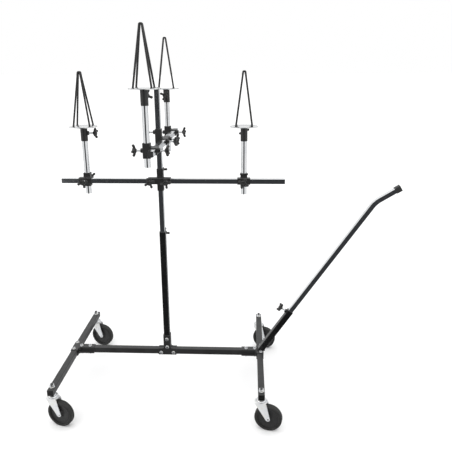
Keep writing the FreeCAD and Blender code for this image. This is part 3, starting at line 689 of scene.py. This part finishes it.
def hex_nut_mesh(across_flats, bore, height):
    """Hexagonal nut along local +Z with chamfered corners at both ends and a bore."""
    sides = 48
    rows = []
    verts = []
    chamfer = 0.06 * across_flats
    edge = chamfer * 0.6
    for z, inset in ((0.0, chamfer), (edge, 0.0), (height - edge, 0.0), (height, chamfer)):
        row = []
        for k in range(sides):
            angle = 2 * math.pi * k / sides
            sector = (angle + math.pi / 6) % (math.pi / 3) - math.pi / 6
            flat = across_flats / 2 / math.cos(sector)
            corner_r = across_flats / math.sqrt(3) - inset
            r = min(flat, corner_r) if inset else flat
            row.append(len(verts))
            verts.append((r * math.cos(angle), r * math.sin(angle), z))
        rows.append(row)
    for z in (height, 0.0):
        row = []
        for k in range(sides):
            angle = 2 * math.pi * k / sides
            row.append(len(verts))
            verts.append((bore * math.cos(angle), bore * math.sin(angle), z))
        rows.append(row)
    faces = []
    loop = rows + [rows[0]]
    for one, two in zip(loop, loop[1:]):
        for k in range(sides):
            j = (k + 1) % sides
            faces.append((one[k], one[j], two[j], two[k]))
    return mesh_from("hex_nut", verts, faces)


TOP_OF_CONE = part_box("front_head")[1].z - MOUNTS["front_rim_rest"]["pos_m"][2]


# ---------------------------------------------------------------- casters

def fork_reach(z, eye, top):
    """The fork's side outline: least and greatest X at a height, a wide top drawn in to a round eye."""
    top_half = math.sqrt(FORK_TOP_R ** 2 - (FORK_INSIDE / 2 + FORK_PLATE - FORK_BEND_R) ** 2)
    limits = []
    for side in (-1.0, 1.0):
        corner = Vector((side * top_half, top))
        centre = Vector((eye.x, eye.z))
        reach = centre - corner
        angle = math.atan2(reach.y, reach.x) + side * math.asin(FORK_EYE_R / reach.length)
        tangent = math.sqrt(reach.length ** 2 - FORK_EYE_R ** 2)
        touch = corner + Vector((math.cos(angle), math.sin(angle))) * tangent
        if z < touch.y:
            x = centre.x + side * math.sqrt(max(0.0, FORK_EYE_R ** 2 - (z - centre.y) ** 2))
        else:
            share = (z - touch.y) / (corner.y - touch.y)
            x = touch.x + (corner.x - touch.x) * min(1.0, share)
        limits.append(x)
    return limits


def fork_rail(eye_z, top):
    """The fork's outline seen along the trail: (y, z) up one cheek, over the top and down the other."""
    half = FORK_INSIDE / 2 + FORK_PLATE
    bend_low = top - FORK_BEND_R
    eye_angles = [math.radians(a) for a in (4, 15, 27, 40, 53, 66, 80, 95, 110)]
    rail = [(half, eye_z - FORK_EYE_R * math.cos(a)) for a in eye_angles]
    eye_top = rail[-1][1]
    rail += [(half, eye_top + (bend_low - eye_top) * k / 6) for k in range(1, 7)]
    for angle in [math.radians(a) for a in (18, 36, 54, 72, 90)]:
        rail.append((half - FORK_BEND_R * (1 - math.cos(angle)), top - FORK_BEND_R * (1 - math.sin(angle))))
    rail += [((half - FORK_BEND_R) * (1 - k / 4), top) for k in range(1, 5)]
    return rail + [(-y, z) for y, z in rail[-2::-1]]


def fork_skin(eye, top):
    """Open mesh of the folded plate's outside: rows along the rail, columns across the fork."""
    rail = fork_rail(eye.z, top)
    columns = 12
    verts = []
    faces = []
    for y, z in rail:
        low, high = fork_reach(z, eye, top - FORK_BEND_R)
        if z >= top - FORK_BEND_R * 0.7:
            high = math.sqrt(FORK_TOP_R ** 2 - y ** 2)
            low = -high
        for k in range(columns + 1):
            verts.append((low + (high - low) * k / columns, y, z))
    for r in range(len(rail) - 1):
        for k in range(columns):
            a = r * (columns + 1) + k
            faces.append((a, a + 1, a + columns + 2, a + columns + 1))
    return mesh_from("fork_source", verts, faces)


def stamped_fork_mesh(eye, top):
    """One folded plate: two cheeks with rolled shoulders and a rounded top, origin under the stem."""
    source = bpy.data.objects.new("fork_source", fork_skin(eye, top))
    bpy.context.scene.collection.objects.link(source)
    thick = source.modifiers.new("plate", "SOLIDIFY")
    thick.thickness = FORK_PLATE
    thick.offset = inward_offset(source.data)
    edge = source.modifiers.new("edge", "BEVEL")
    edge.width = 0.5 * MM
    edge.segments = 2
    edge.limit_method = "ANGLE"
    edge.angle_limit = math.radians(50)
    evaluated = source.evaluated_get(bpy.context.evaluated_depsgraph_get())
    mesh = bpy.data.meshes.new_from_object(evaluated)
    bpy.data.objects.remove(source)
    return mesh


def inward_offset(mesh):
    """Solidify's offset that thickens a folded plate towards its inside."""
    middle = sum((v.co for v in mesh.vertices), Vector()) / len(mesh.vertices)
    outwards = sum((face.center - middle).dot(face.normal) * face.area for face in mesh.polygons)
    return -1.0 if outwards > 0 else 1.0


def domed_head(radius, height):
    """Closed outline of a rivet head standing on z = 0."""
    outline = [(0.0, 0.0), (radius, 0.0), (radius, height * 0.25)]
    angles = [math.radians(a) for a in (20, 40, 60, 78)]
    outline += [(radius * math.cos(a), height * (0.25 + 0.75 * math.sin(a))) for a in angles]
    return outline + [(0.0, height)]


def race_profile(top):
    """Outline of the ball race pressed on to the fork's top plate, standing up to the top height."""
    outer = CUP_R - 1.0 * MM
    inner = STEM_R + 1 * MM
    seat = top - 2.6 * MM
    lip = top - 0.1 * MM
    groove = top - 1.0 * MM
    return [(inner, seat), (outer - 1.4 * MM, seat), (outer - 0.4 * MM, top - 2.0 * MM),
            (outer, top - 1.1 * MM), (outer - 1.2 * MM, lip), (outer - 3.4 * MM, lip),
            (outer - 6.0 * MM, groove), (inner, groove)]


def cup_profile(low, frame):
    """Outline of the fixed upper cup with its rolled lip, and of the shoulder from it up to the leg."""
    high = low + CUP_HEIGHT
    return [(STEM_R, low + 3.6 * MM), (CUP_R - 7.0 * MM, low + 3.6 * MM), (CUP_R - 3.6 * MM, low + 1.6 * MM),
            (CUP_R - 2.8 * MM, low + 0.2 * MM), (CUP_R - 1.2 * MM, low), (CUP_R - 0.2 * MM, low + 0.9 * MM),
            (CUP_R, low + 2.2 * MM), (CUP_R - 0.6 * MM, low + 3.6 * MM), (CUP_R - 2.2 * MM, high - 1.2 * MM),
            (CUP_R - 4.5 * MM, high), (STEM_SHOULDER_R + 1.4 * MM, high), (STEM_SHOULDER_R, high + 1.2 * MM),
            (STEM_SHOULDER_R, frame), (STEM_R, frame)]


def mirrored(half):
    """A whole outline from the half of it below z = 0."""
    return half + [(r, -z) for r, z in half[::-1]]


def tyre_profile(radius):
    """Outline of the rubber tyre: flat sides, rounded shoulders and a faint mould line round the tread."""
    corner = radius - TYRE_CORNER_R
    side = -TYRE_HALF
    half = [(RIM_R, -WEB_HALF + 0.5 * MM), (RIM_R, side + 2.2 * MM), (RIM_R + 0.6 * MM, side + 0.8 * MM),
            (RIM_R + 2.0 * MM, side + 0.1 * MM), (RIM_R + 3.2 * MM, side)]
    for angle in [math.radians(a) for a in (0, 18, 36, 54, 72, 90)]:
        half.append((corner + TYRE_CORNER_R * math.sin(angle), side + TYRE_CORNER_R * (1 - math.cos(angle))))
    half += [(radius, -0.7 * MM), (radius - 0.2 * MM, -0.25 * MM)]
    return mirrored(half)


def core_profile():
    """Outline of the wheel's plastic core: hub, web with a raised ring, and its seat in the tyre."""
    hub = -HUB_HALF
    web = -WEB_HALF
    raised = web - 0.8 * MM
    half = [(AXLE_R + 0.1 * MM, hub + 0.2 * MM), (HUB_R - 4 * MM, hub), (HUB_R - 1 * MM, hub + 0.4 * MM),
            (HUB_R, hub + 1.6 * MM), (HUB_R + 0.8 * MM, web - 1.6 * MM), (HUB_R + 2.6 * MM, web),
            (RIM_R - 9 * MM, web), (RIM_R - 8 * MM, raised), (RIM_R - 6 * MM, raised), (RIM_R - 5 * MM, web),
            (RIM_R - 1.5 * MM, web - 0.2 * MM), (RIM_R + 0.6 * MM, web - 1.6 * MM)]
    return mirrored(half)


def axle_mesh():
    """Axle along local Z: domed head on the +Z side, nut and thread end on the other."""
    outside = FORK_INSIDE / 2 + FORK_PLATE
    shank = lathe("axle", [(0.0, -outside), (AXLE_R, -outside), (AXLE_R, outside), (0.0, outside)], 32)
    head = lathe("axle_head", domed_head(AXLE_HEAD_R, 2.4 * MM), 40)
    nut = hex_nut_mesh(11.0 * MM, 2.6 * MM, 2.4 * MM)
    tail = lathe("axle_tail", domed_head(2.6 * MM, 2.6 * MM), 24)
    front = Matrix.Translation((0, 0, outside))
    back = Matrix.Translation((0, 0, -outside)) @ Matrix.Rotation(math.pi, 4, "X")
    return joined("axle_set", [(shank, None), (head, front), (nut, back), (tail, back)])


def caster_pieces(name):
    """All the pieces of one caster, its fork facing the way that the wheel trails."""
    swivel = Vector(JOINTS["caster_swivel_" + name]["pos_m"])
    axle = Vector(JOINTS["wheel_spin_" + name]["pos_m"])
    spin = Vector(JOINTS["wheel_spin_" + name]["axis"])
    foot = Vector((swivel.x, swivel.y, 0.0))
    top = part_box("caster_fork_" + name)[1].z
    fork_pieces(name, foot, top, axle, spin)
    wheel_pieces(name, axis_matrix(axle, spin))
    stem_pieces(name, foot, top)


def fork_pieces(name, foot, top, axle, spin):
    """Stamped fork with its ball race and axle."""
    fork = "caster_fork_" + name
    body = BODY_OF_NODE[fork]
    trail = Vector((axle.x - foot.x, axle.y - foot.y))
    at_foot = Matrix.Translation(foot)
    facing = at_foot @ Matrix.Rotation(math.atan2(trail.y, trail.x), 4, "Z")
    plate = stamped_fork_mesh(Vector((trail.length, 0, axle.z)), top - FORK_SINK)
    zinc_piece(name + "_fork_plate", plate, body, facing, fork, 35.0, FORK_ZINC)
    zinc_piece(name + "_race", lathe("race", race_profile(top), 72), body, at_foot, fork, 50.0)
    zinc_piece(name + "_axle", axle_mesh(), body, axis_matrix(axle, -spin), fork, 35.0)


def wheel_pieces(name, axle_matrix):
    """Tyre and core of a wheel, about the local Z axis of the matrix."""
    wheel = "caster_wheel_" + name
    body = BODY_OF_NODE[wheel]
    low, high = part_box(wheel)
    tyre = lathe("tyre", tyre_profile((high.z - low.z) / 2), 128)
    core = lathe("core", core_profile(), 96)
    add_piece(name + "_tyre", tyre, body, RUBBER, axle_matrix, (wheel,), 35.0)
    add_piece(name + "_wheel_core", core, body, CAP_PLASTIC, axle_matrix, (wheel,), 35.0)


def stem_pieces(name, foot, top):
    """Fixed cup, kingpin rivet, threaded stem and nut, from the fork's top height up through the leg."""
    leg_low, leg_high = [corner.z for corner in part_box("side_legs")]
    stem_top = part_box("caster_stems")[1].z
    cup = lathe("cup", cup_profile(top + CUP_GAP, leg_low), 80)
    zinc_piece(name + "_cup", cup, "root", Matrix.Translation(foot), "caster_stems")
    rivet = lathe("rivet", [(r, -z) for r, z in domed_head(RIVET_R, 4 * MM)][::-1], 48)
    under_fork = Matrix.Translation(foot + Z_AXIS * (top - FORK_SINK - FORK_PLATE - CUP_GAP))
    zinc_piece(name + "_kingpin", rivet, "root", under_fork, "caster_stems")
    thread = threaded_rod("stem", STEM_R, STEM_PITCH, stem_top - leg_low - 2.4 * MM, 0.9 * MM, 28)
    shank = sweep("stem_foot", [(0, 0, top - 6 * MM - leg_low), (0, 0, 0)], STEM_R - 0.2 * MM, 32)
    stem = joined("stem", [thread, shank])
    at_leg = Matrix.Translation(foot + Z_AXIS * leg_low)
    zinc_piece(name + "_stem", stem, "root", at_leg, "caster_stems", 35.0, DARK_STEEL)
    nut = stem_nut_mesh(17.0 * len(name))
    on_leg = Matrix.Translation(foot + Z_AXIS * leg_high)
    zinc_piece(name + "_stem_nut", nut, "root", on_leg, "caster_nuts", 30.0)


def stem_nut_mesh(turn):
    """Washer and hexagonal nut standing on z = 0, the nut turned by the given degrees."""
    bore = STEM_R + 0.3 * MM
    profile = [(bore, 0.2 * MM), (STEM_R + 0.8 * MM, 0.0), (WASHER_R - 0.5 * MM, 0.0), (WASHER_R, 0.5 * MM),
               (WASHER_R, WASHER_THICKNESS - 0.4 * MM), (WASHER_R - 0.4 * MM, WASHER_THICKNESS),
               (bore, WASHER_THICKNESS)]
    washer = lathe("washer", profile, 48)
    nut = hex_nut_mesh(STEM_NUT_AF, STEM_R - 0.2 * MM, STEM_NUT_HEIGHT)
    lift = Matrix.Translation((0, 0, WASHER_THICKNESS)) @ Matrix.Rotation(math.radians(turn), 4, "Z")
    return joined("stem_nut", [(washer, None), (nut, lift)])


# ---------------------------------------------------------------- bracket fasteners

def bracket_bolts():
    """Flanged hex bolts through the three bracket pairs, with the shanks inside."""
    head = flanged_head_mesh()
    for number, (low, high) in enumerate(islands("bracket_bolts")):
        size = high - low
        middle = (low + high) / 2
        along_y = size.y > size.z
        outward = Vector((0, -1, 0)) if along_y else Z_AXIS
        length = size.y if along_y else size.z
        seat = middle + outward * (length / 2 - BOLT_HEAD)
        place = axis_matrix(seat, outward) @ Matrix.Rotation(math.radians(23.0 * number), 4, "Z")
        name = f"bracket_bolt_{number + 1}"
        zinc_piece(name, head, "root", place, "bracket_bolts", 30.0)
        thread = threaded_rod("bolt_thread", BOLT_R, THREAD_PITCH, BOLT_THREAD_LENGTH)
        path = [(0, 0, BOLT_THREAD_LENGTH), (0, 0, length - BOLT_HEAD)]
        shank = joined("shank", [thread, sweep("bolt_shank", path, BOLT_R - 0.1 * MM, 24)])
        back = axis_matrix(middle - outward * (length / 2), outward)
        zinc_piece(name + "_shank", shank, "root", back, "bracket_bolts", 35.0)


def bracket_nuts():
    """Flanged nuts on the bracket bolts."""
    for number, (low, high) in enumerate(islands("bracket_nuts")):
        size = high - low
        along_y = size.y < size.z
        inward = Vector((0, 1, 0)) if along_y else -Z_AXIS
        height = size.y if along_y else size.z
        nut = joined("flange_nut", [hex_nut_mesh(BOLT_AF, BOLT_R, height), flange_mesh()])
        start = (low + high) / 2 - inward * (height / 2)
        place = axis_matrix(start, inward) @ Matrix.Rotation(math.radians(31.0 * number), 4, "Z")
        zinc_piece(f"bracket_nut_{number + 1}", nut, "root", place, "bracket_nuts", 30.0)


def flange_mesh():
    """Flange that a bolt head or nut is forged with, standing on z = 0."""
    profile = [(BOLT_R, 0.0), (BOLT_FLANGE_R - 0.4 * MM, 0.0), (BOLT_FLANGE_R, 0.4 * MM),
               (BOLT_FLANGE_R - 0.2 * MM, 0.9 * MM), (BOLT_AF * 0.52, 1.8 * MM), (BOLT_R, 1.8 * MM)]
    return lathe("flange", profile, 48)


def flanged_head_mesh():
    """Bolt head on z = 0: hexagon, flange and a dished crown."""
    dish = BOLT_HEAD - 0.3 * MM
    base = BOLT_HEAD - 0.5 * MM
    hexagon = hex_nut_mesh(BOLT_AF, 0.02 * MM, dish)
    profile = [(0.0, base), (5.4 * MM, base), (5.0 * MM, BOLT_HEAD - 0.1 * MM), (4.2 * MM, BOLT_HEAD),
               (3.6 * MM, dish), (0.0, dish)]
    return joined("flanged_head", [hexagon, lathe("crown", profile, 48), flange_mesh()])


# ---------------------------------------------------------------- sleeve welds

def square_weld(name, body, centre, normal, half_across, half_up):
    """Fillet welds round the square where two crossed sleeves touch; normal joins their axes."""
    up = Z_AXIS
    across = Vector(normal).cross(up).normalized()
    beads = []
    for side in (-1.0, 1.0):
        edge = centre + across * (side * (half_across + 0.5 * MM))
        reach = up * (half_up - 1.5 * MM)
        beads.append(weld_bead("side", [edge - reach, edge + reach], 2.3 * MM))
        edge = centre + up * (side * (half_up + 0.5 * MM))
        reach = across * (half_across - 1.5 * MM)
        beads.append(weld_bead("level", [edge - reach, edge + reach], 2.3 * MM))
    coated_piece(name, joined("sleeve_weld", beads), body, metal=WELD_COAT)


def sleeve_welds():
    """Welds between the crossed sleeves of the two fittings and of the four clamps."""
    for name, ends in (("lower", ("left", "right")), ("upper", ("front", "rear"))):
        one, other = [Vector(JOINTS[f"{name}_fitting_knob_{end}_turn"]["pos_m"]) for end in ends]
        bar = (one + other) / 2
        mast = Vector(JOINTS[f"{name}_fitting_knob_mast_turn"]["pos_m"])
        normal = Vector((mast.x - bar.x, mast.y - bar.y, 0)).normalized()
        touch = bar + normal * TUBE_HALF
        body = BODY_OF_NODE[name + "_cross_fitting"]
        square_weld(name + "_fitting_weld", body, touch, normal, TUBE_HALF, TUBE_HALF)
    for side in ("left", "right", "front", "rear"):
        bar = Vector(JOINTS[side + "_bar_knob_turn"]["pos_m"])
        post = Vector(JOINTS[side + "_post_knob_turn"]["pos_m"])
        normal = (post - bar).normalized()
        touch = bar + normal * TUBE_HALF
        body = BODY_OF_NODE[side + "_clamp"]
        square_weld(side + "_clamp_weld", body, touch, normal, POST_SLEEVE_HALF, TUBE_HALF)


def handle_foot_weld():
    """Weld round the mitred foot of the handle's sleeve."""
    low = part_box("handle_sleeve")[0]
    length = 2 * TUBE_HALF / math.sin(HANDLE_SLEEVE_LEAN)
    corner = 2 * MM
    x0, x1 = low.x - 0.3 * MM, low.x + length + 0.3 * MM
    y0, y1 = -TUBE_HALF - 0.3 * MM, TUBE_HALF + 0.3 * MM
    z = low.z + 0.6 * MM
    path = [(x0 + corner, y0, z), (x1 - corner, y0, z), (x1, y0 + corner, z), (x1, y1 - corner, z),
            (x1 - corner, y1, z), (x0 + corner, y1, z), (x0, y1 - corner, z), (x0, y0 + corner, z),
            (x0 + corner, y0, z)]
    weld = weld_bead("foot_weld", path, 2.6 * MM)
    coated_piece("handle_foot_weld", weld, BODY_OF_NODE["handle_sleeve"], metal=WELD_COAT)


# ---------------------------------------------------------------- floor, light, camera

def studio():
    """White cyclorama: white above, and below the horizon a dark strip ahead and grey strips elsewhere."""
    scene = bpy.context.scene
    scene.view_settings.view_transform = "Standard"
    world = bpy.data.worlds.new("studio")
    scene.world = world
    world.use_nodes = True
    tree = world.node_tree
    tree.nodes.clear()
    link = tree.links.new
    place = tree.nodes.new("ShaderNodeTexCoord")
    split = tree.nodes.new("ShaderNodeSeparateXYZ")
    link(place.outputs["Generated"], split.inputs["Vector"])
    flip = math_node(tree, "MULTIPLY", split.outputs["Y"], -1.0)
    bearing = math_node(tree, "ABSOLUTE", math_node(tree, "ARCTAN2", split.outputs["X"], flip))
    strips = tree.nodes.new("ShaderNodeValToRGB")
    link(math_node(tree, "DIVIDE", bearing, math.pi), strips.inputs["Fac"])
    strips.color_ramp.elements[0].color = (*FRONT_STRIP, 1)
    strips.color_ramp.elements[1].color = (*REAR_STRIP, 1)
    for position, colour in STRIP_STOPS:
        strips.color_ramp.elements.new(position).color = (*colour, 1)
    height = tree.nodes.new("ShaderNodeMapRange")
    height.inputs["From Min"].default_value = STRIP_TOP
    height.inputs["From Max"].default_value = WHITE_FROM
    link(split.outputs["Z"], height.inputs["Value"])
    sky = tree.nodes.new("ShaderNodeMix")
    sky.data_type = "RGBA"
    link(height.outputs["Result"], sky.inputs["Factor"])
    link(strips.outputs["Color"], sky.inputs["A"])
    sky.inputs["B"].default_value = (*WHITE, 1)
    lit = tree.nodes.new("ShaderNodeBackground")
    link(sky.outputs["Result"], lit.inputs["Color"])
    plain = tree.nodes.new("ShaderNodeBackground")
    plain.inputs["Color"].default_value = (*WHITE, 1)
    path = tree.nodes.new("ShaderNodeLightPath")
    mix = tree.nodes.new("ShaderNodeMixShader")
    link(path.outputs["Is Camera Ray"], mix.inputs["Fac"])
    link(lit.outputs["Background"], mix.inputs[1])
    link(plain.outputs["Background"], mix.inputs[2])
    out = tree.nodes.new("ShaderNodeOutputWorld")
    link(mix.outputs["Shader"], out.inputs["Surface"])


def math_node(tree, operation, first, second=None):
    """A maths node on an output and, if given, a number or a second output."""
    node = tree.nodes.new("ShaderNodeMath")
    node.operation = operation
    tree.links.new(first, node.inputs[0])
    if isinstance(second, float):
        node.inputs[1].default_value = second
    elif second is not None:
        tree.links.new(second, node.inputs[1])
    return node.outputs["Value"]


def floor():
    """Pale paper floor that runs far behind the stand, and doesn't show in its chrome."""
    near, far, side = -12.0, 60.0, 40.0
    corners = [(-side, near, 0), (side, near, 0), (side, far, 0), (-side, far, 0)]
    mesh = mesh_from("floor", corners, [(0, 1, 2, 3)])
    finish = Finish("floor_paper", Roughness=0.9, Specular_IOR_Level=0.2)
    finish.colour(finish.ramp(finish.noise(0.8, 2.0), [(0.3, (0.93,) * 3), (0.7, (0.95,) * 3)]))
    mesh.materials.append(finish.material)
    obj = bpy.data.objects.new("floor", mesh)
    bpy.context.scene.collection.objects.link(obj)
    obj.visible_glossy = False


def soft_sun():
    """Broad overhead light, soft enough to leave hardly any shadow."""
    data = bpy.data.lights.new("overhead", "SUN")
    data.energy = 1.1
    data.angle = math.radians(80.0)
    obj = bpy.data.objects.new("overhead", data)
    obj.rotation_euler = (math.radians(18.0), math.radians(-8.0), 0.0)
    bpy.context.scene.collection.objects.link(obj)


def camera():
    """The stand seen from a little to the handle's side and above."""
    mast = JOINTS["lower_fitting_knob_mast_turn"]["pos_m"]
    level_share = math.cos(CAMERA_TILT)
    back = Vector((math.sin(CAMERA_TURN) * level_share, -math.cos(CAMERA_TURN) * level_share,
                   math.sin(CAMERA_TILT)))
    data = bpy.data.cameras.new("camera")
    data.sensor_width = 36.0
    data.lens = CAMERA_LENS
    obj = bpy.data.objects.new("camera", data)
    level = (-back).to_track_quat("-Z", "Y").to_matrix().to_4x4()
    eye = Vector((mast[0] + CAMERA_FROM_MAST[0], mast[1] + CAMERA_FROM_MAST[1], CAMERA_HEIGHT))
    obj.matrix_world = Matrix.Translation(eye) @ level @ Matrix.Rotation(CAMERA_ROLL, 4, "Z")
    bpy.context.scene.collection.objects.link(obj)
    bpy.context.scene.camera = obj


finish_cad_nodes()
clamp_knobs()
weld_nut_beads()
rim_heads()
for caster in CASTERS:
    caster_pieces(caster)
bracket_bolts()
bracket_nuts()
sleeve_welds()
handle_foot_weld()
studio()
floor()
soft_sun()
camera()
